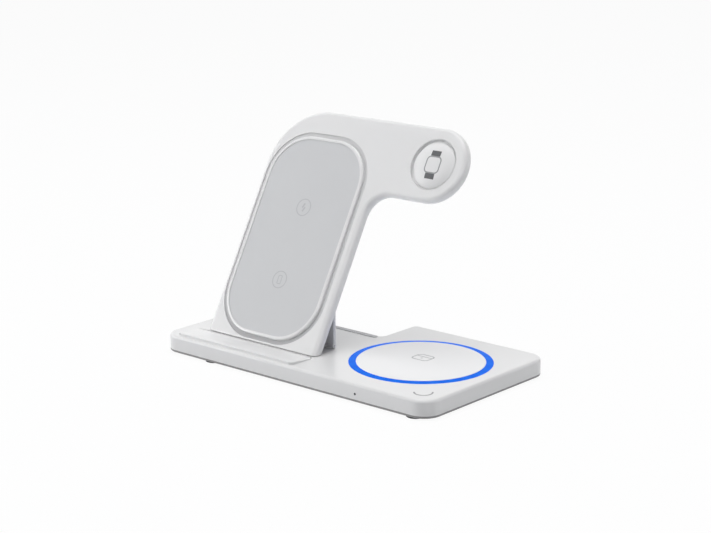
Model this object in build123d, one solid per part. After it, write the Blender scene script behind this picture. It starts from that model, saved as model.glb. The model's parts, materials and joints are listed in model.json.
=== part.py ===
from build123d import *
import os
from math import cos, radians, sin

os.makedirs("parts", exist_ok=True)

# Base, in millimetres: x runs left to right, y front to back, heights start at the table
base_depth = 93.3
base_height = 9.5
block_margin = 6.4  # light ring to the edge of the deep right block
deck_depth = 66.4  # shallower left part, under the stand
corner_radius = 9.2
notch_radius = 3.0
top_edge_radius = 1.4
cover_band = 1.2  # bottom cover, seen as a dark band under the shell
cover_edge_radius = 0.7
base_wall = 1.8
foot_radius = 4.5
foot_proud = 0.8
foot_seat = 0.4
foot_inset = 5.0  # front and rear edges to the feet
foot_from_left = 31.6
foot_from_right = 10.5
foot_rear_inset = 22.0
lip_height = 1.4
lip_width = 1.2
boss_inset = 9.5
boss_radius = 3.0

# Stand: heights on the panel run up its slope from the top face of the base
stand_inset = 13.7  # left end of the base to the panel
stand_gap = 1.3  # panel to the block
stand_setback = 18.0  # front of the base to the panel's front face, at the top face
lean = 29.0  # degrees back from upright
panel_width = 72.6
panel_height = 122.6
panel_thickness = 6.0
panel_top_radius = 31.0
panel_foot_radius = 3.0
panel_overrun = 1.8  # outline drawn on below the level cut of the foot
panel_front_edge = 2.6
panel_rear_edge = 3.0
panel_wall = 1.8
panel_skin = 2.0  # front wall
panel_back = 1.4  # rear wall
arm_width = 37.7
arm_reach = 50.0
arm_crook_radius = 12.0

# Phone pad and ledge
pad_shift = -1.0  # middle of the pad from the panel's middle
pad_width = 61.6
pad_foot = 3.5
pad_height = 104.7
pad_radius = 22.3
pad_proud = 1.0
pad_rim = 1.7
pad_rim_edge = 1.0
pad_step = 0.3  # grey face below the rim
pad_seat = 0.8
pad_moat = 2.2  # trough round the rim
coil_height = 71.5
phone_coil_radius = 21.0
ledge_inset = 7.9
ledge_length = 78.6
ledge_setback = 2.0
ledge_depth = 14.9
ledge_height = 1.3  # level lip along the front
ledge_lip = 3.0
ledge_rear_height = 0.15  # the top falls to this towards the panel
ledge_gap = 1.0  # groove between ledge and panel
ledge_radius = 3.0
ledge_seat = 0.8
ledge_edge = 0.6
ledge_undercut = 0.6  # under the front lip

# Watch charger on the arm
watch_radius = 13.2
watch_lip = 0.25  # ring over the panel's face
watch_land = 0.7
watch_recess = 1.8  # edge of the dish below the panel's face
bowl_sag = 0.62  # share of the recess reached halfway down the bowl
watch_dish_radius = 10.2
watch_plate = 0.7
watch_crown = 0.3  # rise of the dish at its middle
watch_seat = 0.6
watch_stem_radius = 12.3
watch_coil_radius = 9.4

# Earbud pad and light ring in the block
ring_radius = 34.6
ring_width = 3.6
ring_rise = 0.5
cap_thickness = 1.6
cap_edge = 0.2
skirt_width = 1.5
light_board_lap = 3.0

# Hinges: one bracket on each side carries the panel's pin and the flap's pin
foot_gap = 0.35  # panel over the top face
hinge_inset = 13.0
lug_thickness = 4.0
lug_radius = 1.9
hinge_pin_radius = 1.0
hinge_pin_grip = 4.0
flap_pin_radius = 0.6
flap_pin_grip = 3.0
barrel_radius = 1.15
flap_setback = 35.5  # front of the base to the flap's pin
flap_pin_height = 1.25  # pin over the top face
flap_thickness = 1.6
flap_inset = 2.6  # panel's edge to the flap's end
flap_clearance = 0.15
running_clearance = 0.05
side_clearance = 0.25
seat_clearance = 0.1
hinge_cover_thickness = 0.8
hinge_cover_margin = 1.4
hinge_cover_radius = 0.6
hinge_cover_front = 4.0  # panel's pin to the cover's front edge
bracket_thickness = 1.2
bracket_margin = 4.5
stake_radius = 1.0

# Inner pieces and fixings
coil_thickness = 1.0
ferrite_thickness = 0.8
board_thickness = 1.0
standoff = 1.2
standoff_radius = 2.5
screw_radius = 1.0
screw_head_radius = 2.0
screw_head = 0.8
screw_sink = 0.1
ballast_thickness = 3.0
ballast_depth = 29.0
ballast_side_gap = 14.0
socket_width = 8.94
socket_height = 3.26
socket_depth = 7.3
socket_from_left = 44.0
socket_recess = 0.4
socket_wall = 0.35
tongue_width = 6.6
tongue_thickness = 0.7
board_length = 48.0
board_depth = 24.0
light_pipe_radius = 0.6
light_pipe_length = 4.0
light_pipe_collar = 1.2
light_pipe_shift = -1.3  # from the middle of the block
strip_width = 3.0
strip_setback = 1.0
strip_margin = 0.8
strip_thickness = 1.0
strip_under_panel = 0.1
touch_inset = 11.0
touch_radius = 4.0
touch_thickness = 0.3
panel_boss_radius = 2.6
panel_boss_inset = 7.0
panel_screw_cover = 0.6
arm_board_height = 14.0
arm_board_gap = 1.0

# Places that follow from the sizes above
block_length = 2 * (ring_radius + block_margin)
base_length = stand_inset + panel_width + stand_gap + block_length
left = -base_length / 2
right = base_length / 2
front = -base_depth / 2
rear = base_depth / 2
block_left = right - block_length
deck_rear = front + deck_depth
cover_bottom = foot_proud
cover_top = cover_bottom + cover_band
under_top = base_height - base_wall
slope = radians(lean)
panel_left = left + stand_inset
panel_right = panel_left + panel_width
pad_mid = (panel_left + panel_right) / 2 + pad_shift
split = panel_thickness / 2
panel_foot = foot_gap / cos(slope)
pivot_up = (split + foot_gap + split * sin(slope)) / cos(slope)
pivot_y = front + stand_setback + pivot_up * sin(slope) + split * cos(slope)
pivot_z = base_height + split + foot_gap
flap_y = front + flap_setback
flap_z = base_height + flap_pin_height
hinge_xs = [panel_left + hinge_inset, panel_right - hinge_inset]
ring_x = (block_left + right) / 2
ring_inner = ring_radius - ring_width
arm_low = panel_height - arm_width
arm_end = panel_right + arm_reach
watch_x = arm_end - arm_width / 2
watch_up = panel_height - arm_width / 2

# The panel is drawn flat, front up, and stood at its lean by this plane
standing = Plane(
    origin=(0, front + stand_setback, base_height),
    x_dir=(1, 0, 0),
    z_dir=(0, -cos(slope), sin(slope)),
)


def rounded(corners, inset=0.0):
    # Face inside right-angled corners (x, y, radius) in anticlockwise order, moved inwards by inset
    spots = []
    for i, (x, y, radius) in enumerate(corners):
        here = Vector(x, y)
        come = (here - Vector(*corners[i - 1][:2])).normalized()
        leave = (Vector(*corners[(i + 1) % len(corners)][:2]) - here).normalized()
        turn = come.X * leave.Y - come.Y * leave.X
        corner = here + (leave - come) * (inset * turn)
        bend = max(radius - inset * turn, 0.0)
        centre = corner + (leave - come) * bend
        middle = centre + (corner - centre).normalized() * bend if bend else corner
        spots.append((corner - come * bend, middle, corner + leave * bend))
    edges = []
    for i, (start, middle, end) in enumerate(spots):
        last = spots[i - 1][2]
        if (start - last).length > 1e-4:
            edges.append(Line(last, start))
        if (end - start).length > 1e-4:
            edges.append(ThreePointArc(start, middle, end))
    return make_face(edges)


def box_corners(x0, x1, y0, y1, radius=0.0):
    return [(x0, y0, radius), (x1, y0, radius), (x1, y1, radius), (x0, y1, radius)]


def slab(face, low, high):
    return extrude(Pos(0, 0, low) * face, high - low)


def block(x0, x1, y0, y1, z0, z1):
    return Pos((x0 + x1) / 2, (y0 + y1) / 2, (z0 + z1) / 2) * Box(x1 - x0, y1 - y0, z1 - z0)


def post(x, y, radius, low, high):
    return Pos(x, y, (low + high) / 2) * Cylinder(radius, high - low)


def rod(x0, x1, y, z, radius):
    return Pos((x0 + x1) / 2, y, z) * Rot(0, 90, 0) * Cylinder(radius, x1 - x0)


def turned(x, y, outline):
    return Pos(x, y, 0) * revolve(Plane.XZ * make_face(outline), Axis.Z)


def tube(x, y, inner, outer, low, high):
    return post(x, y, outer, low, high) - post(x, y, inner, low, high)


def fused(pieces):
    whole = pieces[0]
    for piece in pieces[1:]:
        whole = whole + piece
    return whole


def save(name, shape):
    shape.label = name
    export_step(shape, f"parts/{name}.step")


# Outline of the base: the deep block on the right and the shallower deck on the left
base_corners = [
    (left, front, corner_radius),
    (right, front, corner_radius),
    (right, rear, corner_radius),
    (block_left, rear, notch_radius),
    (block_left, deck_rear, notch_radius),
    (left, deck_rear, corner_radius),
]
base_spots = [
    (left + boss_inset, front + boss_inset),
    (right - boss_inset, front + touch_inset + touch_radius + boss_radius + boss_inset / 4),
    (right - boss_inset, rear - boss_inset),
    (block_left + boss_inset, rear - boss_inset),
    (left + boss_inset, deck_rear - boss_inset),
]
foot_spots = {
    "foot_front_left": (left + foot_from_left, front + foot_inset),
    "foot_front_right": (right - foot_from_right, front + foot_inset),
    "foot_rear_right": (right - foot_rear_inset, rear - foot_inset),
    "foot_rear_middle": (block_left + foot_rear_inset, rear - foot_inset),
    "foot_rear_left": (left + foot_rear_inset, deck_rear - foot_inset),
}

# Seats in the top face
ledge_left = left + ledge_inset
ledge_right = ledge_left + ledge_length
ledge_front = front + ledge_setback
ledge_rear = ledge_front + ledge_depth
ledge_corners = box_corners(ledge_left, ledge_right, ledge_front, ledge_rear, ledge_radius)
ledge_seat_corners = box_corners(ledge_left, ledge_right, ledge_front, ledge_rear + ledge_gap, ledge_radius)
strip_rear = deck_rear - strip_setback
strip_corners = box_corners(
    left + corner_radius,
    block_left - strip_margin,
    strip_rear - strip_width,
    strip_rear,
    strip_width / 2,
)
strip_top = base_height + foot_gap - strip_under_panel
strip_bottom = strip_top - strip_thickness
ledge_bottom = base_height - ledge_seat
ledge_top = base_height + ledge_height
socket_x = left + socket_from_left
board_bottom = cover_top + standoff
board_top = board_bottom + board_thickness
socket_mid = board_top + socket_height / 2
socket_rear = deck_rear - socket_recess
socket_half = socket_width / 2
socket_round = socket_height / 2
socket_corners = box_corners(-socket_half, socket_half, -socket_round, socket_round, socket_round)
socket_plane = Plane(origin=(socket_x, socket_rear, socket_mid), x_dir=(1, 0, 0), z_dir=(0, -1, 0))
pipe_height = cover_top + lip_height + seat_clearance + light_pipe_collar
pipe_start = (ring_x + light_pipe_shift, front, pipe_height)
pipe_axis = Plane(origin=pipe_start, x_dir=(1, 0, 0), z_dir=(0, 1, 0))
touch_spot = (right - touch_inset, front + touch_inset)


def bracket_stakes(x, radius):
    mid = (pivot_y + flap_y) / 2
    low = under_top - bracket_thickness
    return [post(x + side * bracket_margin, mid, radius, low, under_top) for side in (-1, 1)]


def lug(x, y, z, radius, gap=0.0):
    # Tongue that rises from the bracket to a pin, grown by gap for the slot it stands in
    half = lug_thickness / 2 + gap
    return block(x - half, x + half, y - radius - gap, y + radius + gap, under_top, z)


# Dark cover plate round the hinges, flush with the top face
flap_left = panel_left + flap_inset
flap_right = panel_right - flap_inset
hinge_cover_corners = box_corners(
    flap_left - hinge_cover_margin,
    flap_right + hinge_cover_margin,
    pivot_y - hinge_cover_front,
    flap_y - barrel_radius - seat_clearance,
    hinge_cover_radius,
)
hinge_cover_bottom = base_height - hinge_cover_thickness
hinge_cover = slab(rounded(hinge_cover_corners), hinge_cover_bottom, base_height)
for x in hinge_xs:
    hinge_cover -= lug(x, pivot_y, base_height, lug_radius, seat_clearance)
save("hinge_cover", hinge_cover)

# Shell of the base
shell = slab(rounded(base_corners), cover_top, base_height)
shell = fillet(shell.faces().sort_by(Axis.Z)[-1].edges(), top_edge_radius)
shell -= slab(rounded(base_corners, base_wall), cover_top, under_top)
shell = fused([shell] + [post(x, y, boss_radius, cover_top, under_top) for x, y in base_spots])
for x, y in base_spots:
    shell -= post(x, y, screw_radius, cover_top, under_top)
shell -= post(ring_x, 0, ring_radius, under_top, base_height)
shell -= slab(rounded(ledge_seat_corners), ledge_bottom, base_height)
shell -= slab(rounded(strip_corners), strip_bottom, base_height)
shell -= slab(rounded(hinge_cover_corners), hinge_cover_bottom, base_height)
shell -= extrude(socket_plane * rounded(socket_corners), base_wall * 2, both=True)
shell -= extrude(pipe_axis * Circle(light_pipe_radius), base_wall * 2)
for x in hinge_xs:
    shell -= lug(x, pivot_y, base_height, lug_radius, seat_clearance)
    shell -= lug(x, flap_y, base_height, barrel_radius, seat_clearance)
    shell = fused([shell] + bracket_stakes(x, stake_radius))
save("base_top_shell", shell)

# Bottom cover with its lip, board standoffs, screw holes and seats for the feet
cover = slab(rounded(base_corners), cover_bottom, cover_top)
cover = fillet(cover.faces().sort_by(Axis.Z)[0].edges(), cover_edge_radius)
lip_inset = base_wall + seat_clearance
lip = slab(rounded(base_corners, lip_inset), cover_top, cover_top + lip_height)
lip -= slab(rounded(base_corners, lip_inset + lip_width), cover_top, cover_top + lip_height)
board_left = socket_x - board_length / 2
board_right = socket_x + board_length / 2
board_rear = deck_rear - lip_inset - lip_width - seat_clearance
board_front = board_rear - board_depth
standoff_spots = [
    (x, y)
    for x in (board_left + standoff_radius, board_right - standoff_radius)
    for y in (board_front + standoff_radius, board_rear - standoff_radius)
]
standoffs = [post(x, y, standoff_radius, cover_top, board_bottom) for x, y in standoff_spots]
cover = fused([cover, lip] + standoffs)
for x, y in base_spots:
    cover -= post(x, y, screw_radius, cover_bottom, cover_top)
    cover -= post(x, y, screw_head_radius, cover_bottom, cover_bottom + screw_head + screw_sink)
for x, y in foot_spots.values():
    cover -= post(x, y, foot_radius, cover_bottom, cover_bottom + foot_seat)
save("base_bottom_cover", cover)

for name, (x, y) in foot_spots.items():
    foot = post(x, y, foot_radius, 0, cover_bottom + foot_seat)
    save(name, fillet(foot.faces().sort_by(Axis.Z)[0].edges(), foot_proud / 2))


def screw(x, y, head_bottom, length):
    # Pan head with a cross slot, its head down
    head = post(x, y, screw_head_radius, head_bottom, head_bottom + screw_head)
    shank = post(x, y, screw_radius, head_bottom + screw_head, head_bottom + screw_head + length)
    slot = Box(screw_head_radius * 1.2, screw_head_radius * 0.3, screw_head)
    slot = slot + Box(screw_head_radius * 0.3, screw_head_radius * 1.2, screw_head)
    return head + shank - Pos(x, y, head_bottom) * slot


base_screw_length = base_height / 2 - cover_top
base_screws = [screw(x, y, cover_bottom + screw_sink, base_screw_length) for x, y in base_spots]
save("base_screws", Compound(base_screws))

# Weight and electronics inside the base
ballast_front = front + light_pipe_length + seat_clearance
ballast = block(
    left + ballast_side_gap,
    right - ballast_side_gap,
    ballast_front,
    ballast_front + ballast_depth,
    cover_top,
    cover_top + ballast_thickness,
)
save("ballast_plate", ballast)
save("main_board", block(board_left, board_right, board_front, board_rear, board_bottom, board_top))

socket_floor = socket_depth - socket_wall * 2
socket = extrude(socket_plane * rounded(socket_corners), socket_depth)
socket -= extrude(socket_plane * rounded(socket_corners, socket_wall), socket_floor)
tongue_half = tongue_width / 2
tongue_low = -tongue_thickness / 2
tongue = block(-tongue_half, tongue_half, tongue_low, -tongue_low, socket_depth * 0.2, socket_depth)
save("usb_c_socket", socket + socket_plane * tongue)

pipe = extrude(pipe_axis * Circle(light_pipe_radius), light_pipe_length)
pipe += extrude(pipe_axis.offset(base_wall) * Circle(light_pipe_collar), light_pipe_length - base_wall)
save("indicator_light_pipe", pipe)
save("touch_electrode", post(*touch_spot, touch_radius, under_top - touch_thickness, under_top))

# Ledge under the phone: an undercut lip in front, falling towards the panel; rest strip for the folded panel
ledge = slab(rounded(ledge_corners), ledge_bottom, ledge_top)
ledge = fillet(ledge.faces().sort_by(Axis.Z)[-1].edges(), ledge_edge)
ledge_fall = make_face(Polyline(
    (ledge_front + ledge_lip, ledge_top),
    (ledge_rear, base_height + ledge_rear_height),
    (ledge_rear, ledge_top),
    close=True,
))
ledge_nook = make_face(Polyline(
    (ledge_front, base_height),
    (ledge_front + ledge_undercut, base_height),
    (ledge_front, base_height + ledge_undercut),
    close=True,
))
ledge_end = Plane(origin=(ledge_left, 0, 0), x_dir=(0, 1, 0), z_dir=(1, 0, 0))
for cut in (ledge_fall, ledge_nook):
    ledge -= extrude(ledge_end * cut, ledge_length)
save("phone_ledge", ledge)
strip = slab(rounded(strip_corners), strip_bottom, strip_top)
save("rear_rest_strip", strip)

# Earbud pad: a cap on a ring-shaped light board, with the light ring round it
cap_top = base_height + ring_rise
cap_under = cap_top - cap_thickness
skirt_inner = ring_inner - skirt_width
cap_shoulder = cap_top - cap_edge
cap_profile = [
    (0, cap_under),
    (skirt_inner, cap_under),
    (skirt_inner, under_top),
    (ring_inner, under_top),
    (ring_inner, cap_shoulder),
    (ring_inner - cap_edge, cap_top),
    (0, cap_top),
]
save("earbud_pad", turned(ring_x, 0, Polyline(*cap_profile, close=True)))
ring_profile = [
    (ring_inner, under_top),
    (ring_radius, under_top),
    (ring_radius, base_height),
    (ring_inner, cap_shoulder),
]
save("light_ring", turned(ring_x, 0, Polyline(*ring_profile, close=True)))
light_board_outer = ring_radius + light_board_lap
light_board = tube(ring_x, 0, skirt_inner, light_board_outer, under_top - board_thickness, under_top)
save("ring_light_board", light_board)
ear_coil_low = cap_under - coil_thickness
save("earbud_coil", tube(ring_x, 0, ring_inner * 0.3, ring_inner * 0.7, ear_coil_low, cap_under))
ear_ferrite_low = ear_coil_low - ferrite_thickness
save("earbud_ferrite", post(ring_x, 0, ring_inner * 0.75, ear_ferrite_low, ear_coil_low))

# Hinge brackets under the top face, with a lug for the panel and one for the flap
for side, x in zip(("left", "right"), hinge_xs):
    reach = bracket_margin + stake_radius * 2
    plate = block(
        x - reach,
        x + reach,
        pivot_y - bracket_margin,
        flap_y + bracket_margin,
        under_top - bracket_thickness,
        under_top,
    )
    half = lug_thickness / 2
    bracket = fused([
        plate,
        lug(x, pivot_y, pivot_z, lug_radius),
        rod(x - half, x + half, pivot_y, pivot_z, lug_radius),
        lug(x, flap_y, flap_z, barrel_radius),
        rod(x - half, x + half, flap_y, flap_z, barrel_radius),
    ])
    bracket -= rod(x - half, x + half, pivot_y, pivot_z, hinge_pin_radius + running_clearance)
    bracket -= rod(x - half, x + half, flap_y, flap_z, flap_pin_radius + running_clearance)
    for stake in bracket_stakes(x, stake_radius):
        bracket -= stake
    save(f"hinge_bracket_{side}", bracket)

# Support flap: stands upright behind the panel and bears on the floor of the panel's rear pocket
notch_half = lug_thickness / 2 + side_clearance
lug_top = flap_pin_height + barrel_radius
pocket_depth = lug_top + flap_clearance + seat_clearance - foot_gap
pocket_floor = panel_thickness - pocket_depth
pivot_to_flap = Vector(0, flap_y - pivot_y, flap_z - pivot_z)
behind = Vector(0, cos(slope), -sin(slope))
flap_end_radius = flap_thickness / 2
flap_room = pivot_to_flap.dot(behind) - (pocket_floor - split)
flap_reach = (flap_room - flap_end_radius - flap_clearance) / sin(slope)
flap_tip = flap_z + flap_reach
flap_front = flap_y - flap_end_radius
flap_rear = flap_y + flap_end_radius
flap = fused([
    block(flap_left, flap_right, flap_front, flap_rear, flap_z, flap_tip),
    rod(flap_left, flap_right, flap_y, flap_tip, flap_end_radius),
    rod(flap_left, flap_right, flap_y, flap_z, barrel_radius),
])
flap_pins = {
    "flap_pin_left": (flap_left, hinge_xs[0] + notch_half + flap_pin_grip),
    "flap_pin_right": (hinge_xs[1] - notch_half - flap_pin_grip, flap_right),
}
for x in hinge_xs:
    notch_top = flap_z + barrel_radius + side_clearance
    notch_depth = barrel_radius * 2
    notch = block(x - notch_half, x + notch_half, -notch_depth, notch_depth, base_height, notch_top)
    flap -= Pos(0, flap_y, 0) * notch
for name, (x0, x1) in flap_pins.items():
    flap -= rod(x0, x1, flap_y, flap_z, flap_pin_radius)
    save(name, rod(x0, x1, flap_y, flap_z, flap_pin_radius))
save("support_flap", flap)

# Panel, drawn flat: x along the base, y up the slope, z out of its front face
panel_corners = [
    (panel_left, panel_foot - panel_overrun, panel_foot_radius),
    (panel_right, panel_foot - panel_overrun, panel_foot_radius),
    (panel_right, arm_low, arm_crook_radius),
    (arm_end, arm_low, arm_width / 2),
    (arm_end, panel_height, arm_width / 2),
    (panel_left, panel_height, panel_top_radius),
]
body = slab(rounded(panel_corners), -panel_thickness, 0)
body = fillet(body.faces().sort_by(Axis.Z)[0].edges(), panel_rear_edge)
body = fillet(body.faces().sort_by(Axis.Z)[-1].edges(), panel_front_edge)

# Side profile of the panel: its foot is cut level with the base and rounded about the hinge pin
foot_down = Vector(-cos(slope), -sin(slope))
pivot = Vector(pivot_up, -split)
foot_low = pivot + foot_down * split
foot_turn = pivot + (foot_down + Vector(0, -1)).normalized() * split
crown = panel_height + 1.0
profile = make_face([
    Line((panel_foot, 0), (crown, 0)),
    Line((crown, 0), (crown, -panel_thickness)),
    Line((crown, -panel_thickness), (pivot_up, -panel_thickness)),
    ThreePointArc((pivot_up, -panel_thickness), foot_turn, foot_low),
    Line(foot_low, (panel_foot, 0)),
])
side_plane = Plane(origin=(panel_left, 0, 0), x_dir=(0, 1, 0), z_dir=(1, 0, 0))
body &= extrude(side_plane * profile, arm_end - panel_left)

# Cuts shared by the two halves: pin seats, lug slots and the inner space over the flap's pocket
pocket_low = pivot_up + pivot_to_flap.Y - barrel_radius * 3
pocket_high = pivot_up + pivot_to_flap.Y + flap_reach + flap_end_radius * 2.5
space_low = pocket_high + panel_wall
cuts = []
for x in hinge_xs:
    reach = notch_half + hinge_pin_grip
    cuts.append(rod(x - reach, x + reach, pivot_up, -split, hinge_pin_radius))
    slot_radius = lug_radius + side_clearance
    slot_high = pivot_up + slot_radius
    cuts.append(block(x - notch_half, x + notch_half, 0, slot_high, -panel_thickness, slot_radius - split))
space = slab(rounded(panel_corners, panel_wall), -(panel_thickness - panel_back), -panel_skin)
space &= block(panel_left, arm_end, space_low, panel_height, -panel_thickness, 0)
panel_spots = [
    (panel_left + panel_boss_inset, space_low + panel_boss_inset),
    (panel_right - panel_boss_inset, space_low + panel_boss_inset),
    (panel_left + panel_top_radius * 0.55, panel_height - panel_top_radius * 0.35),
    (panel_right, panel_height - panel_boss_inset),
    (panel_right + arm_crook_radius, arm_low + panel_boss_inset),
]
space -= fused([post(x, y, panel_boss_radius, -panel_thickness, 0) for x, y in panel_spots])
body -= fused(cuts)
body -= space

pad_corners = box_corners(
    pad_mid - pad_width / 2,
    pad_mid + pad_width / 2,
    pad_foot,
    pad_foot + pad_height,
    pad_radius,
)
front_half = body & block(panel_left, arm_end, 0, crown, -split, 0)
front_half -= slab(rounded(pad_corners, -pad_moat), -pad_seat, 0)
front_half -= post(watch_x, watch_up, watch_radius, -watch_seat, 0)
front_half -= post(watch_x, watch_up, watch_stem_radius, -panel_skin, 0)
screw_tip = panel_skin - panel_screw_cover
for x, y in panel_spots:
    front_half -= post(x, y, screw_radius, -split, -screw_tip)
save("panel_front_shell", standing * front_half)

rear_half = body & block(panel_left, arm_end, 0, crown, -panel_thickness, -split)
pocket_left = flap_left - side_clearance
pocket_right = flap_right + side_clearance
rear_half -= block(pocket_left, pocket_right, pocket_low, pocket_high, -panel_thickness, -pocket_floor)
for x, y in panel_spots:
    rear_half -= post(x, y, screw_radius, -panel_thickness, -split)
    rear_half -= post(x, y, screw_head_radius, -panel_thickness, screw_head + screw_sink - panel_thickness)
save("panel_rear_cover", standing * rear_half)

for side, x in zip(("left", "right"), hinge_xs):
    reach = notch_half + hinge_pin_grip
    save(f"hinge_pin_{side}", rod(x - reach, x + reach, pivot_y, pivot_z, hinge_pin_radius))

panel_screw_length = panel_thickness - screw_sink - screw_head - screw_tip
panel_screws = [screw(x, y, -panel_thickness + screw_sink, panel_screw_length) for x, y in panel_spots]
save("panel_screws", standing * Compound(panel_screws))

# Phone pad: a rounded rim with the grey face inside it
rim = slab(rounded(pad_corners), -pad_seat, pad_proud)
rim = fillet(rim.faces().sort_by(Axis.Z)[-1].edges(), pad_rim_edge)
rim -= slab(rounded(pad_corners, pad_rim), -pad_seat, pad_proud)
save("phone_pad_frame", standing * rim)
save("phone_pad", standing * slab(rounded(pad_corners, pad_rim), -pad_seat, pad_proud - pad_step))

# Coil and ferrite behind the pad, board in the arm
coil_low = -panel_skin - coil_thickness
coil_eye = phone_coil_radius * 0.45
phone_coil = tube(pad_mid, coil_height, coil_eye, phone_coil_radius, coil_low, -panel_skin)
save("phone_coil", standing * phone_coil)
ferrite = Box(phone_coil_radius * 2.05, phone_coil_radius * 2.05, ferrite_thickness)
save("phone_ferrite", standing * Pos(pad_mid, coil_height, coil_low - ferrite_thickness / 2) * ferrite)
arm_board = block(
    panel_right + arm_board_gap,
    watch_x - watch_radius - arm_board_gap,
    watch_up - arm_board_height / 2,
    watch_up + arm_board_height / 2,
    -panel_skin - board_thickness,
    -panel_skin,
)
save("panel_board", standing * arm_board)

# Watch charger sunk in the arm: bowl-shaped ring, domed dish in its bottom, coil and magnet behind
watch_back = watch_recess + watch_plate
bowl_top = watch_radius - watch_land
bowl_middle = ((bowl_top + watch_dish_radius) / 2, watch_lip - (watch_recess + watch_lip) * bowl_sag)
watch_outline = [
    Line((watch_dish_radius, -watch_back), (watch_stem_radius, -watch_back)),
    Line((watch_stem_radius, -watch_back), (watch_stem_radius, -watch_seat)),
    Line((watch_stem_radius, -watch_seat), (watch_radius, -watch_seat)),
    Line((watch_radius, -watch_seat), (watch_radius, 0)),
    Line((watch_radius, 0), (watch_radius - watch_lip, watch_lip)),
    Line((watch_radius - watch_lip, watch_lip), (bowl_top, watch_lip)),
    ThreePointArc((bowl_top, watch_lip), bowl_middle, (watch_dish_radius, -watch_recess)),
    Line((watch_dish_radius, -watch_recess), (watch_dish_radius, -watch_back)),
]
save("watch_ring", standing * turned(watch_x, watch_up, watch_outline))
dome_radius = (watch_dish_radius ** 2 + watch_crown ** 2) / (2 * watch_crown)
dome_mid = (dome_radius ** 2 - watch_dish_radius ** 2 / 4) ** 0.5 - dome_radius + watch_crown
dish_middle = (watch_dish_radius / 2, dome_mid - watch_recess)
dish_top = watch_crown - watch_recess
dish_outline = [
    Line((0, -watch_back), (watch_dish_radius, -watch_back)),
    Line((watch_dish_radius, -watch_back), (watch_dish_radius, -watch_recess)),
    ThreePointArc((watch_dish_radius, -watch_recess), dish_middle, (0, dish_top)),
    Line((0, dish_top), (0, -watch_back)),
]
save("watch_dish", standing * turned(watch_x, watch_up, dish_outline))
magnet_radius = watch_coil_radius * 0.4
watch_coil_low = -watch_back - coil_thickness
watch_coil = tube(watch_x, watch_up, magnet_radius, watch_coil_radius, watch_coil_low, -watch_back)
save("watch_coil", standing * watch_coil)
watch_magnet = post(watch_x, watch_up, magnet_radius, watch_coil_low - ferrite_thickness, -watch_back)
save("watch_magnet", standing * watch_magnet)
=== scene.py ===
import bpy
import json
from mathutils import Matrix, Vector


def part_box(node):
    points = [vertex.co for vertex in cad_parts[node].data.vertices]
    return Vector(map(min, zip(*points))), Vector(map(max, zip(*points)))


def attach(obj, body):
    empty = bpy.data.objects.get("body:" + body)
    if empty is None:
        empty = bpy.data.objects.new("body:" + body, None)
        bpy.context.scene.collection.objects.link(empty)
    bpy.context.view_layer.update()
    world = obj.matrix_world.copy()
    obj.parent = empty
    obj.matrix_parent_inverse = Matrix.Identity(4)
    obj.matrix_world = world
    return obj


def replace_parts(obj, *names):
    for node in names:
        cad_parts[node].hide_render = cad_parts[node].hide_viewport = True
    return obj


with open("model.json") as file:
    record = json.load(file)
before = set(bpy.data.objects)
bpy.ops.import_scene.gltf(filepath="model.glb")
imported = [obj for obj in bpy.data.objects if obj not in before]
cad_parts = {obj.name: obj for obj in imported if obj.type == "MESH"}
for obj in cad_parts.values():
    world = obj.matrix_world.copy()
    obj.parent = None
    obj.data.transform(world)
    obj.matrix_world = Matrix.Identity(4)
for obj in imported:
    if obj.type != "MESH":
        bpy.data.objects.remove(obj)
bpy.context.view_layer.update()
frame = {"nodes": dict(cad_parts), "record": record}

import bpy, bmesh, json, math
from mathutils import Matrix, Vector

nodes = frame["nodes"]
mounts = {m["name"]: m for m in frame["record"]["mounts"]}
print("frame loaded:", len(nodes), "pieces")


# shader maths: a socket that takes part in Python expressions
class Wire:
    def __init__(self, tree, socket):
        self.tree, self.socket = tree, socket

    def make(self, kind, settings=None, out=0, **inputs):
        node = self.tree.nodes.new(kind)
        for name, value in (settings or {}).items():
            setattr(node, name, value)
        for name, value in inputs.items():
            key = int(name[1:]) if name[0] == "i" and name[1:].isdigit() else name.replace("_", " ")
            socket = node.inputs[key]
            if isinstance(value, Wire):
                self.tree.links.new(value.socket, socket)
            else:
                socket.default_value = value
        return Wire(self.tree, node.outputs[out]) if node.outputs else node

    def maths(self, operation, other=0.0):
        return self.make("ShaderNodeMath", {"operation": operation}, i0=self, i1=other)

    def __add__(self, other):
        return self.maths("ADD", other)

    __radd__ = __add__

    def __sub__(self, other):
        return self.maths("SUBTRACT", other)

    def __rsub__(self, other):
        return self.make("ShaderNodeMath", {"operation": "SUBTRACT"}, i0=other, i1=self)

    def __mul__(self, other):
        return self.maths("MULTIPLY", other)


def srgb(red, green, blue):
    values = [v / 255 for v in (red, green, blue)]
    return tuple(v / 12.92 if v <= 0.04045 else ((v + 0.055) / 1.055) ** 2.4 for v in values) + (1.0,)


# camera at the photograph's angle
cameraSetup = {"place": (0.5537, -0.63965, 0.2654), "pitch": 14.36, "yaw": 40.74, "lens": 91.08}
lensData = bpy.data.cameras.new("photoCamera")
lensData.lens, lensData.sensor_width, lensData.sensor_fit = cameraSetup["lens"], 36.0, "HORIZONTAL"
lensData.clip_start, lensData.clip_end = 0.05, 20.0
camera = bpy.data.objects.new("photoCamera", lensData)
camera.location = cameraSetup["place"]
camera.rotation_euler = (math.radians(90 - cameraSetup["pitch"]), 0, math.radians(cameraSetup["yaw"]))
bpy.context.collection.objects.link(camera)
bpy.context.scene.camera = camera
bpy.context.scene.view_settings.view_transform = "Standard"

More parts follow.
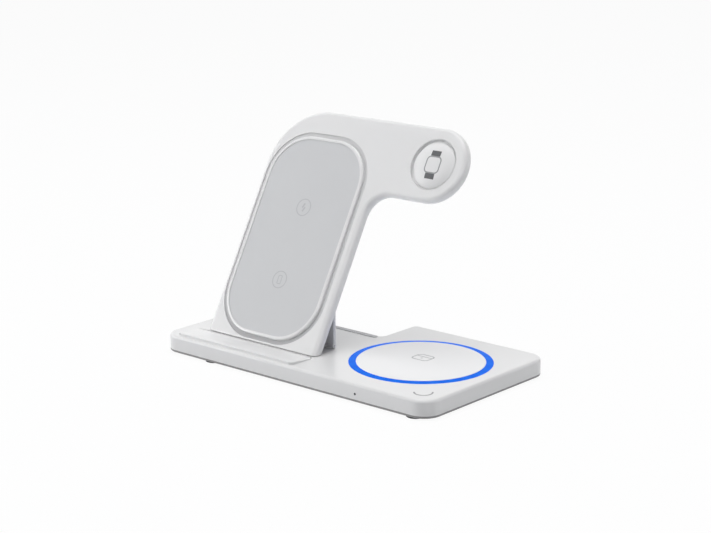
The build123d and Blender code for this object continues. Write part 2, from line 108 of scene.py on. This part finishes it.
# studio: white surround for the eye and for reflections, a softer level for lighting
studio = {
    "ambient": (0.985, 0.99, 1.0, 1.0), "ambientLevel": 0.78,
    "ambientAim": (-0.62, 0.62, 0.48), "ambientLean": 0.96,  # where most of it comes from, and how much of it
    "floorColour": srgb(238, 239, 241), "floorGlow": 0.94, "floorReach": 3.0,
    "lampAim": (0, 0, 0.05),
    "lamps": {  # place, size, power, lights the surfaces or only shines on them
        "softboxLeft": ((-1.0, -0.73, 0.20), 0.5, 5.4, True),
        "softboxTop": ((0.0, 0.0, 1.3), 0.9, 9.4, True),
        "softboxFront": ((-0.1, -1.1, 0.9), 0.8, 2.2, True),
        "softboxRight": ((1.0, 0.6, 0.18), 0.5, 1.5, True),
        "softboxHigh": ((0.75, 0.05, 0.95), 0.6, 0.9, True),
        "sheenRight": ((0.80, -0.80, 0.62), 0.9, 6.5, False),
    },
}
world = bpy.data.worlds.new("studio")
bpy.context.scene.world = world
world.use_nodes = True
world.node_tree.nodes.clear()
sky = Wire(world.node_tree, None)
seen = sky.make("ShaderNodeLightPath", None, "Is Camera Ray")
mirrored = sky.make("ShaderNodeLightPath", None, "Is Glossy Ray")
passed = sky.make("ShaderNodeLightPath", None, "Is Transmission Ray")
white = (seen + mirrored + passed).maths("MINIMUM", 1.0)
heading = sky.make("ShaderNodeTexCoord", None, "Generated")
facing = sky.make("ShaderNodeVectorMath", {"operation": "DOT_PRODUCT"}, "Value", i0=heading,
                  i1=studio["ambientAim"])
lean = studio["ambientLean"]
wash = (facing.maths("MAXIMUM", 0.0) * lean + 1 - lean) * studio["ambientLevel"]
level = white + (1 - white) * wash
tint = sky.make("ShaderNodeMix", {"data_type": "RGBA"}, 2, i0=white, i6=studio["ambient"], i7=(1, 1, 1, 1))
sky.make("ShaderNodeOutputWorld", Surface=sky.make("ShaderNodeBackground", Color=tint, Strength=level))

floorMesh = bpy.data.meshes.new("floor")
floorForm = bmesh.new()
bmesh.ops.create_grid(floorForm, x_segments=1, y_segments=1, size=studio["floorReach"])
floorForm.to_mesh(floorMesh)
floorForm.free()
floor = bpy.data.objects.new("floor", floorMesh)
bpy.context.collection.objects.link(floor)
floorFinish = bpy.data.materials.new("floorPaper")
floorFinish.use_nodes = True
floorFinish.node_tree.nodes.clear()
ground = Wire(floorFinish.node_tree, None)
groundSeen = ground.make("ShaderNodeLightPath", None, "Is Camera Ray")
groundMirrored = ground.make("ShaderNodeLightPath", None, "Is Glossy Ray")
paper = ground.make("ShaderNodeBsdfDiffuse", Color=studio["floorColour"])
glow = ground.make("ShaderNodeEmission", Color=(1, 1, 1, 1), Strength=1.0)
share = (groundSeen + groundMirrored).maths("MINIMUM", 1.0) * studio["floorGlow"]
surface = ground.make("ShaderNodeMixShader", i0=share, i1=paper, i2=glow)
ground.make("ShaderNodeOutputMaterial", Surface=surface)
floorMesh.materials.append(floorFinish)

for name, (place, size, power, lights) in studio["lamps"].items():
    lampData = bpy.data.lights.new(name, "AREA")
    lampData.size, lampData.energy = size, power
    lamp = bpy.data.objects.new(name, lampData)
    lamp.location = place
    lamp.visible_camera, lamp.visible_diffuse = False, lights
    lamp.rotation_euler = (Vector(studio["lampAim"]) - Vector(place)).to_track_quat("-Z", "Y").to_euler()
    bpy.context.collection.objects.link(lamp)
print("studio set")


# finishes, all on object coordinates in metres
def newFinish(name):
    material = bpy.data.materials.new(name)
    material.use_nodes = True
    material.node_tree.nodes.clear()
    return material, Wire(material.node_tree, None).make("ShaderNodeTexCoord", None, "Object")


def seal(material, place, **sockets):
    shader = place.make("ShaderNodeBsdfPrincipled", None, 0, **sockets)
    place.make("ShaderNodeOutputMaterial", Surface=shader)
    return material


def cloud(place, scale, detail=2.0):
    return place.make("ShaderNodeTexNoise", None, 0, Vector=place, Scale=scale, Detail=detail)


def local(place, centre, turn=(0, 0, 0), stretch=(1, 1, 1)):  # pattern's own frame on a piece
    return place.make("ShaderNodeMapping", {"vector_type": "TEXTURE"}, Vector=place, Location=centre,
                      Rotation=turn, Scale=stretch)


def tone(mask, first, second):
    return mask.make("ShaderNodeMix", {"data_type": "RGBA"}, 2, i0=mask, i6=first, i7=second)


def relief(height, depth):
    return height.make("ShaderNodeBump", Strength=1.0, Distance=depth, Height=height)


def mouldedPlastic(name, pale, shade, rough, grain, depth, coat=0.0, coatRough=0.1, flow=14.0):
    material, place = newFinish(name)
    drift = cloud(place, flow, 3.0)  # slow tone drift of the moulding
    speck = cloud(place, grain, 3.0)  # spark-eroded grain
    return seal(material, place, Base_Color=tone(drift, shade, pale), Normal=relief(speck, depth),
                Roughness=rough + (drift - 0.5) * 0.10 + (speck - 0.5) * 0.06,
                Coat_Weight=coat, Coat_Roughness=coatRough)


def rubber(name, pale, shade, rough, grain, depth):
    material, place = newFinish(name)
    drift = cloud(place, 60.0, 4.0)
    pore = place.make("ShaderNodeTexVoronoi", None, 0, Vector=place, Scale=grain)
    dust = cloud(place, 2600.0, 2.0)
    height = pore * 0.6 + dust * 0.4
    return seal(material, place, Base_Color=tone(drift * 0.7 + dust * 0.3, shade, pale),
                Normal=relief(height, depth), Roughness=rough + (dust - 0.5) * 0.10)


def brushedMetal(name, pale, shade, rough, stretch, depth=1.5e-6):
    material, place = newFinish(name)
    brushed = local(place, (0, 0, 0), (0, 0, 0), stretch)
    hair = brushed.make("ShaderNodeTexNoise", None, 0, Vector=brushed, Scale=900.0, Detail=4.0)
    patch = cloud(place, 90.0, 2.0)
    return seal(material, place, Base_Color=tone(hair * 0.6 + patch * 0.4, shade, pale), Metallic=1.0,
                Roughness=rough + (hair - 0.5) * 0.18, Normal=relief(hair, depth))


def copperWinding(name, centre, turn, pitch):
    look = {"wire": srgb(196, 122, 78), "gap": srgb(92, 48, 28)}
    material, place = newFinish(name)
    own = local(place, centre, turn)
    flat = own.make("ShaderNodeVectorMath", {"operation": "MULTIPLY"}, i0=own, i1=(1, 1, 0))
    reach = own.make("ShaderNodeVectorMath", {"operation": "LENGTH"}, "Value", i0=flat)
    turns = (reach * (math.tau / pitch)).maths("SINE") * 0.5 + 0.5
    patch = cloud(place, 220.0, 2.0)
    mask = (turns * 0.8 + patch * 0.2).maths("MINIMUM", 1.0)
    return seal(material, place, Base_Color=tone(mask, look["gap"], look["wire"]), Metallic=0.85,
                Roughness=0.30 + patch * 0.12, Normal=relief(turns, pitch * 0.25))


def circuitBoard(name):
    look = {"mask": srgb(18, 92, 58), "deep": srgb(10, 66, 42), "trace": srgb(34, 122, 78),
            "pad": srgb(190, 158, 92)}
    material, place = newFinish(name)
    grid = place.make("ShaderNodeTexBrick", None, "Fac", Vector=place, Scale=260.0, Mortar_Size=0.035)
    pads = place.make("ShaderNodeTexVoronoi", None, 0, Vector=place, Scale=420.0, Randomness=0.4)
    dots = pads.maths("LESS_THAN", 0.16)
    weave = cloud(place, 700.0, 3.0)
    colour = tone(dots, tone(grid * 0.7, tone(weave, look["deep"], look["mask"]), look["trace"]), look["pad"])
    return seal(material, place, Base_Color=colour, Metallic=dots * 0.8, Roughness=0.34 + weave * 0.12,
                Normal=relief(grid * 0.6 + dots, 2e-5))


finishes = {}
whites = {
    "shell_white": dict(pale=srgb(229, 229, 229), shade=srgb(224, 224, 225),
                        rough=0.34, grain=2600.0, depth=2.2e-6,
                        coat=0.45, coatRough=0.16),
    "panel_white": dict(pale=srgb(233, 233, 233), shade=srgb(228, 228, 229),
                        rough=0.36, grain=2600.0, depth=2.2e-6,
                        coat=0.30, coatRough=0.18),
    "ledge_white": dict(pale=srgb(231, 231, 231), shade=srgb(226, 226, 227),
                        rough=0.30, grain=3000.0, depth=1.6e-6,
                        coat=0.45, coatRough=0.12),
    "rim_white": dict(pale=srgb(233, 233, 233), shade=srgb(229, 229, 230),
                      rough=0.28, grain=3400.0, depth=1.2e-6,
                      coat=0.5, coatRough=0.12),
    "cap_white": dict(pale=srgb(240, 240, 241), shade=srgb(236, 236, 237),
                      rough=0.52, grain=3600.0, depth=0.8e-6,
                      coat=0.05, coatRough=0.30),
    "dish_white": dict(pale=srgb(233, 233, 233), shade=srgb(229, 229, 230),
                       rough=0.46, grain=3600.0, depth=0.8e-6,
                       coat=0.1, coatRough=0.30),
    "cover_grey": dict(pale=srgb(150, 149, 149), shade=srgb(138, 137, 137),
                       rough=0.52, grain=1500.0, depth=9e-6),
    "hinge_grey": dict(pale=srgb(196, 196, 199), shade=srgb(186, 186, 190),
                       rough=0.45, grain=1900.0, depth=5e-6),
}
for slotName, look in whites.items():
    finishes[slotName] = mouldedPlastic(slotName, **look)

rubbers = {
    "foot_rubber": dict(pale=srgb(70, 71, 73), shade=srgb(56, 57, 59), rough=0.72, grain=1400.0, depth=1.6e-5),
    "strip_grey": dict(pale=srgb(206, 206, 208), shade=srgb(196, 196, 198),
                       rough=0.66, grain=1800.0, depth=1.0e-5),
    "pad_grey": dict(pale=srgb(207, 208, 210), shade=srgb(203, 204, 206),
                     rough=0.56, grain=3200.0, depth=2.5e-6),
}
for slotName, look in rubbers.items():
    finishes[slotName] = rubber(slotName, **look)

metals = {
    "screw_steel": dict(pale=srgb(176, 178, 182), shade=srgb(140, 142, 147), rough=0.34, stretch=(1, 1, 6)),
    "ballast_steel": dict(pale=srgb(150, 151, 154), shade=srgb(118, 119, 123), rough=0.44, stretch=(14, 1, 1)),
    "socket_steel": dict(pale=srgb(205, 206, 209), shade=srgb(170, 171, 175), rough=0.26, stretch=(1, 10, 1)),
    "bracket_steel": dict(pale=srgb(118, 119, 122), shade=srgb(88, 89, 93), rough=0.40, stretch=(10, 1, 1)),
    "pin_steel": dict(pale=srgb(198, 199, 203), shade=srgb(164, 165, 170), rough=0.22, stretch=(12, 1, 1)),
    "magnet_steel": dict(pale=srgb(212, 211, 207), shade=srgb(186, 185, 182), rough=0.20, stretch=(1, 1, 1)),
}
for slotName, look in metals.items():
    finishes[slotName] = brushedMetal(slotName, **look)

leanTurn = (math.radians(61), 0, 0)  # panel's plane against the base's
coils = {  # turn of the winding's plane, pitch of its turns
    "phone_coil": (leanTurn, 0.0011), "watch_coil": (leanTurn, 0.0008),
    "earbud_coil": ((0, 0, 0), 0.0011), "touch_electrode": ((0, 0, 0), 0.0016),
}
coilFinishes = {}
for nodeName, (turn, pitch) in coils.items():
    low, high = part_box(nodeName)
    middle = (Vector(low) + Vector(high)) / 2
    coilFinishes[nodeName] = copperWinding(nodeName + "Copper", middle, turn, pitch)
finishes["board_green"] = circuitBoard("board_green")
finishes["ferrite"] = rubber("ferrite", srgb(62, 62, 66), srgb(44, 44, 48), 0.60, 900.0, 1.2e-5)

# pale bead-blasted flap
flapLook = {"pale": srgb(222, 222, 224), "shade": srgb(212, 212, 215)}
material, place = newFinish("flap_grey")
beads = place.make("ShaderNodeTexVoronoi", None, 0, Vector=place, Scale=3600.0)
drift = cloud(place, 40.0, 3.0)
finishes["flap_grey"] = seal(material, place, Base_Color=tone(drift, flapLook["shade"], flapLook["pale"]),
                             Roughness=0.44 + (drift - 0.5) * 0.1, Normal=relief(beads, 4e-6))

# lit blue light guide, a little brighter over each diode
ringLook = {"core": srgb(0, 104, 240), "rim": srgb(8, 115, 246), "body": srgb(2, 8, 20), "glow": 0.93,
            "diodes": 24}
low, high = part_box("light_ring")
ringMiddle = (Vector(low) + Vector(high)) / 2
material, place = newFinish("ring_blue")
own = local(place, ringMiddle)
axes = own.make("ShaderNodeSeparateXYZ", None, "X", Vector=own)
across = own.make("ShaderNodeSeparateXYZ", None, "Y", Vector=own)
around = across.maths("ARCTAN2", axes)
spots = (around * ringLook["diodes"]).maths("SINE") * 0.5 + 0.5
haze = cloud(place, 900.0, 2.0)
hue = tone((spots * 0.75 + haze * 0.25).maths("MINIMUM", 1.0), ringLook["core"], ringLook["rim"])
finishes["ring_blue"] = seal(material, place, Base_Color=ringLook["body"], Emission_Color=hue,
                             Emission_Strength=ringLook["glow"], Specular_IOR_Level=0.02,
                             Roughness=0.40 + (haze - 0.5) * 0.08, Normal=relief(haze, 1e-6))

# smoked light pipe in the pin hole
material, place = newFinish("pipe_clear")
swirl = cloud(place, 1800.0, 3.0)
finishes["pipe_clear"] = seal(material, place, Base_Color=tone(swirl, srgb(58, 60, 66), srgb(74, 76, 82)),
                              Roughness=0.12 + swirl * 0.10, Coat_Weight=0.6, Normal=relief(swirl, 1e-6))

for part in frame["record"]["subparts"]:
    piece = nodes[part["node"]]
    finish = coilFinishes.get(part["node"]) or finishes[part["material_slot"]]
    if not piece.material_slots:
        piece.data.materials.append(finish)
    for materialSlot in piece.material_slots:
        materialSlot.material = finish


# printed marks: flat forms drawn in mm, made solid and laid on their carrier
padNormal = Vector(mounts["phone_rest"]["axis"]).normalized()
padSpot = Vector(mounts["phone_rest"]["pos_m"])
padUp = padNormal.cross(Vector((1, 0, 0)))
padTurn = Matrix((Vector((1, 0, 0)), padUp, padNormal)).transposed().to_4x4()
onPad = Matrix.Translation(padSpot * 1000) @ padTurn
onBase = Matrix.Identity(4)
ink = {"sunk": 0.02, "proud": 0.03, "cuts": 5}  # mm under and over the printed surface, cuts on a dome


def arcBand(form, centre, radius, width, start, sweep, steps=48):
    aim = Matrix.Rotation(math.radians(start), 3, "Z") @ Vector((1, 0, 0))
    ends = [form.verts.new(Vector(centre).to_3d() + aim * (radius + side * width / 2)) for side in (-1, 1)]
    edge = form.edges.new(ends)
    bmesh.ops.spin(form, geom=ends + [edge], cent=Vector(centre).to_3d(), axis=(0, 0, 1),
                   angle=math.radians(sweep), steps=steps, use_merge=abs(sweep) >= 360, use_duplicate=False)


def patch(form, centre, width, height, radius=0.0, line=0.0, turn=0.0, steps=6):
    made = bmesh.ops.create_grid(form, x_segments=1, y_segments=1, size=0.5)
    bmesh.ops.scale(form, vec=(width, height, 1), verts=made["verts"])
    move = Matrix.Translation(Vector(centre).to_3d()) @ Matrix.Rotation(math.radians(turn), 4, "Z")
    bmesh.ops.transform(form, matrix=move, verts=made["verts"])
    faces = list({face for vert in made["verts"] for face in vert.link_faces})
    if radius:
        bmesh.ops.bevel(form, geom=made["verts"], offset=radius, offset_type="OFFSET", affect="VERTICES",
                        segments=steps, profile=0.5, material=-1)
        faces = [face for face in form.faces if face.is_valid and len(face.verts) > 8]
    if line:
        bmesh.ops.inset_region(form, faces=faces, thickness=line, use_even_offset=True, use_boundary=True)
        bmesh.ops.delete(form, geom=faces, context="FACES")


def settle(form, name, body, finish):  # drawn in mm, kept in metres
    bmesh.ops.scale(form, vec=(0.001, 0.001, 0.001), verts=form.verts)
    bmesh.ops.recalc_face_normals(form, faces=form.faces)
    mesh = bpy.data.meshes.new(name)
    form.to_mesh(mesh)
    form.free()
    mesh.materials.append(finish)
    piece = bpy.data.objects.new(name, mesh)
    bpy.context.collection.objects.link(piece)
    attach(piece, body)
    return piece


def layInk(form, name, place, body, finish, lift=0.0, dome=None, proud=ink["proud"]):
    bmesh.ops.remove_doubles(form, verts=form.verts, dist=1e-4)
    bmesh.ops.recalc_face_normals(form, faces=form.faces)
    for face in form.faces:
        if face.normal.z < 0:
            face.normal_flip()
    raised = bmesh.ops.extrude_face_region(form, geom=form.faces[:], use_keep_orig=True)
    tops = [item for item in raised["geom"] if isinstance(item, bmesh.types.BMVert)]
    bmesh.ops.translate(form, vec=(0, 0, ink["sunk"] + proud), verts=tops)
    bmesh.ops.translate(form, vec=(0, 0, lift - ink["sunk"]), verts=form.verts)
    if dome:
        bmesh.ops.subdivide_edges(form, edges=form.edges[:], cuts=ink["cuts"], use_grid_fill=True)
        for vert in form.verts:
            share = (vert.co.xy - Vector(dome["centre"])).length / dome["radius"]
            vert.co.z -= dome["sag"] * share ** dome["power"]
    bmesh.ops.transform(form, matrix=place, verts=form.verts)
    return settle(form, name, body, finish)


def inkFinish(name, pale, shade, rough):
    material, place = newFinish(name)
    dots = place.make("ShaderNodeTexVoronoi", None, 0, Vector=place, Scale=5200.0)  # screen print
    blot = cloud(place, 1200.0, 2.0)
    return seal(material, place, Base_Color=tone(blot, shade, pale), Roughness=rough + (blot - 0.5) * 0.1,
                Normal=relief(dots, 2e-6))


inks = {
    "watch": inkFinish("watchInk", srgb(92, 93, 95), srgb(82, 83, 85), 0.5),
    "outline": inkFinish("outlineInk", srgb(158, 159, 161), srgb(150, 151, 153), 0.5),
    "pad": inkFinish("padInk", srgb(188, 189, 192), srgb(183, 184, 187), 0.55),
    "disc": inkFinish("discInk", srgb(184, 185, 187), srgb(178, 179, 181), 0.4),
    "key": inkFinish("keyInk", srgb(150, 151, 153), srgb(142, 143, 145), 0.45),
}

# ledge under the phone, with a crisp upright lip
# level lip, drop to the rear, corners, top edge
ledgeLook = {"lip": 3.0, "fall": 1.15, "round": 3.0, "edge": 0.2}
low, high = [Vector(corner) * 1000 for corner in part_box("phone_ledge")]
lipEnd = low.y + ledgeLook["lip"]
form = bmesh.new()
patch(form, ((low + high) / 2).xy, high.x - low.x, high.y - low.y, ledgeLook["round"], steps=12)
bmesh.ops.translate(form, vec=(0, 0, low.z), verts=form.verts)
raised = bmesh.ops.extrude_face_region(form, geom=form.faces[:], use_keep_orig=True)
tops = [item for item in raised["geom"] if isinstance(item, bmesh.types.BMVert)]
bmesh.ops.translate(form, vec=(0, 0, high.z - low.z), verts=tops)
bmesh.ops.bisect_plane(form, geom=form.verts[:] + form.edges[:] + form.faces[:], plane_co=(0, lipEnd, 0),
                       plane_no=(0, 1, 0))
tops = {vert for vert in form.verts if vert.co.z > high.z - 0.01}
for vert in tops:
    vert.co.z -= ledgeLook["fall"] * max(vert.co.y - lipEnd, 0) / (high.y - lipEnd)
rims = [edge for edge in form.edges if tops.issuperset(edge.verts) and len(set(edge.link_faces)) == 2
        and edge.calc_face_angle(0) > 1.0]
bmesh.ops.bevel(form, geom=rims, offset=ledgeLook["edge"], offset_type="OFFSET", affect="EDGES", segments=3,
                profile=0.5, material=-1)
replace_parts(settle(form, "phoneLedge", "base", finishes["ledge_white"]), "phone_ledge")

# soft grey band in the trough round the pad: painted shade in the crease, darker towards the bottom as painted
# shade under the pad
troughShadeLook = {"size": (65.9, 109.0), "round": 24.4, "width": 2.1, "lift": -1.5, "proud": 0.3,
            "pale": srgb(213, 213, 214), "deep": srgb(190, 190, 192),
            "paleFrom": 0.034, "paintedShadeTo": 0.018}  # heights in metres
material, place = newFinish("troughPaintedShade")
# painted shade: below the pale height the band darkens to the deep tone, strongest at the pad's foot
height = place.make("ShaderNodeSeparateXYZ", None, "Z", Vector=place)
shadeFade = place.make("ShaderNodeMapRange", None, 0, Value=height, From_Min=troughShadeLook["paintedShadeTo"],
                  From_Max=troughShadeLook["paleFrom"])
dust = cloud(place, 2600.0, 2.0)
troughShadeTone = tone(shadeFade * 0.94 + dust * 0.06, troughShadeLook["deep"], troughShadeLook["pale"])
troughShadeFinish = seal(material, place, Base_Color=troughShadeTone, Roughness=0.55 + (dust - 0.5) * 0.1,
                  Normal=relief(dust, 2.5e-6))
form = bmesh.new()
patch(form, (0, 0), *troughShadeLook["size"], troughShadeLook["round"], troughShadeLook["width"], steps=32)
layInk(form, "troughPaintedShade", onPad, "panel", troughShadeFinish, troughShadeLook["lift"], proud=troughShadeLook["proud"])
print("ledge and trough band made")

# watch charger: a pillow-shaped button in a round groove, heights over the panel's face
watchLook = {
    "centre": (68.45, 47.9), "face": -0.7, "steps": 20, "turns": 96,
    "radius": 11.9, "top": 0.9, "sag": 2.2, "power": 4.0,  # button
    "back": -2.5, "stem": 12.3, "seat": -0.6, "outer": 13.2,  # as the solids have them
    "rim": ((13.35, 0.02), (13.2, 0.04)),
    "wall": ((13.0, -0.04), (12.85, -0.2), (12.72, -0.6), (12.6, -1.0), (12.35, -1.24)),
}
buttonReach, watchBack = watchLook["radius"], watchLook["back"]
buttonLine = [(0, watchBack), (buttonReach, watchBack)]
for k in range(watchLook["steps"], -1, -1):
    share = k / watchLook["steps"]
    buttonLine.append((buttonReach * share, watchLook["top"] - watchLook["sag"] * share ** watchLook["power"]))
grooveLine = [
    (buttonReach, watchBack), (watchLook["stem"], watchBack), (watchLook["stem"], watchLook["seat"]),
    (watchLook["outer"], watchLook["seat"]), (watchLook["outer"], 0.0), *watchLook["rim"], *watchLook["wall"],
    (buttonReach, watchLook["top"] - watchLook["sag"]),
]


def lathe(name, line, closed, replaced, slotName):
    form = bmesh.new()
    centre = Vector(watchLook["centre"]).to_3d()
    lift = watchLook["face"]
    chain = [form.verts.new(centre + Vector((reach, 0, height + lift))) for reach, height in line]
    links = [form.edges.new(pair) for pair in zip(chain, chain[1:] + (chain[:1] if closed else []))]
    bmesh.ops.spin(form, geom=chain + links, cent=centre, axis=(0, 0, 1), angle=math.tau,
                   steps=watchLook["turns"], use_merge=True, use_duplicate=False)
    bmesh.ops.remove_doubles(form, verts=form.verts, dist=1e-4)
    for face in form.faces:
        face.smooth = True
    bmesh.ops.transform(form, matrix=onPad, verts=form.verts)
    piece = settle(form, name, "panel", finishes[slotName])
    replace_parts(piece, replaced)


lathe("watchButton", buttonLine, False, "watch_dish", "dish_white")
lathe("watchGroove", grooveLine, True, "watch_ring", "rim_white")
print("watch charger made")

# wristwatch sign on the button
watchSign = {"centre": (69.1, 47.5), "face": 8.8, "round": 2.4, "line": 0.65, "strap": (5.4, 2.7)}
watchLift = watchLook["top"] + watchLook["face"]
x, y = watchSign["centre"]
form = bmesh.new()
patch(form, (x, y), watchSign["face"], watchSign["face"], watchSign["round"], watchSign["line"])
layInk(form, "watchSignFace", onPad, "panel", inks["outline"], watchLift, watchLook)
form = bmesh.new()
wide, tall = watchSign["strap"]
for side in (-1, 1):
    patch(form, (x, y + side * (watchSign["face"] + tall) / 2), wide, tall)
layInk(form, "watchSignStrap", onPad, "panel", inks["watch"], watchLift, watchLook)

# two round signs on the phone pad
padSigns = {"upper": (0.0, 15.4), "lower": (0.4, -22.7), "radius": 4.3, "line": 0.45,
            "bolt": (0.9, 2.6), "boltStep": (0.35, 0.95), "boltTurn": -24.0,
            "phone": (2.6, 4.6), "phoneRound": 0.6, "phoneLine": 0.4}
form = bmesh.new()
for name in ("upper", "lower"):
    arcBand(form, padSigns[name], padSigns["radius"], padSigns["line"], 0, 360)
x, y = padSigns["upper"]
across, rise = padSigns["boltStep"]
for side in (-1, 1):
    patch(form, (x + side * across, y - side * rise), *padSigns["bolt"], turn=padSigns["boltTurn"])
patch(form, padSigns["lower"], *padSigns["phone"], padSigns["phoneRound"], padSigns["phoneLine"])
layInk(form, "padSigns", onPad, "panel", inks["pad"])

# earbud case sign on the disc
caseSign = {"centre": (41.6, 4.4), "size": (10.0, 8.6), "round": 2.6, "line": 0.75, "lift": 10.0,
            "lid": 0.7, "lidRise": 1.2, "dot": 1.0, "dotDrop": 1.0}
x, y = caseSign["centre"]
form = bmesh.new()
patch(form, (x, y), *caseSign["size"], caseSign["round"], caseSign["line"])
patch(form, (x, y + caseSign["lidRise"]), caseSign["size"][0] - 2 * caseSign["line"], caseSign["lid"])
patch(form, (x, y - caseSign["dotDrop"]), caseSign["dot"], caseSign["dot"])
layInk(form, "caseSign", onBase, "base", inks["disc"], caseSign["lift"])

# touch key sign at the front right corner
keySign = {"centre": (73.8, -35.65), "radius": 4.2, "line": 0.85, "from": -150.0, "sweep": 200.0, "lift": 9.5}
form = bmesh.new()
arcBand(form, keySign["centre"], keySign["radius"], keySign["line"], keySign["from"], keySign["sweep"], 32)
layInk(form, "keySign", onBase, "base", inks["key"], keySign["lift"])
print("printed marks laid")
